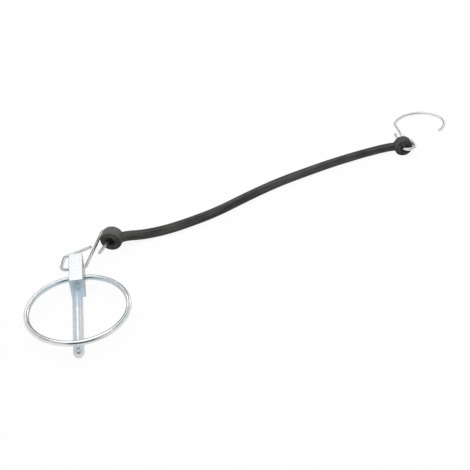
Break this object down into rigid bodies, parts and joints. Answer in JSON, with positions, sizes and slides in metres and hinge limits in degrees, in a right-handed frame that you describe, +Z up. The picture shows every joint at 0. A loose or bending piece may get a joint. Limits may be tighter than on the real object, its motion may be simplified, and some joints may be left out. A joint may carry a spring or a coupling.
{
  "type": "lynch pin",
  "caption": "Lynch pin with a flat head and a spring ring, tethered by a round rubber strap to an open wire hook.",
  "frame": {"origin": "on the surface that the pin lies on, midway along and across the pin and its ring", "axes": "+Y along the pin in plan, from its tip to its head; +Z up; +X towards the side that the strap leaves by"},
  "size_m": [0.2472, 0.1713, 0.0123],
  "materials": {
    "zinc_pin": "bright zinc plate",
    "zinc_ring": "bright zinc plate",
    "zinc_wire": "bright zinc plate",
    "black_rubber": "matte moulded"
  },
  "bodies": {
    "pin_body": {"pin": "zinc_pin"},
    "ring_body": {"ring": "zinc_ring"},
    "link_body": {"link": "zinc_wire"},
    "tether_body": {"tether": "black_rubber"},
    "hook_body": {"hook": "zinc_wire"}
  },
  "joints": [
    {"name": "ring_swing", "type": "hinge", "parent": "pin_body", "child": "ring_body", "pos_m": [0, 0.01634, 0.006], "axis": [-1, 0, 0], "range_deg": [-1.1, 100]},
    {"name": "link_swing", "type": "hinge", "parent": "pin_body", "child": "link_body", "pos_m": [0, 0.02301, 0.00659], "axis": [1, 0, 0], "range_deg": [-45, 45]},
    {"name": "tether_swing", "type": "hinge", "parent": "link_body", "child": "tether_body", "pos_m": [0.01635, 0.04534, 0.0054], "axis": [-0.2672, -0.9636, 0], "range_deg": [-40, 75]},
    {"name": "hook_swing", "type": "hinge", "parent": "tether_body", "child": "hook_body", "pos_m": [0.1908, 0.10734, 0.0054], "axis": [-0.1219, -0.9925, 0], "range_deg": [-60, 60]}
  ]
}
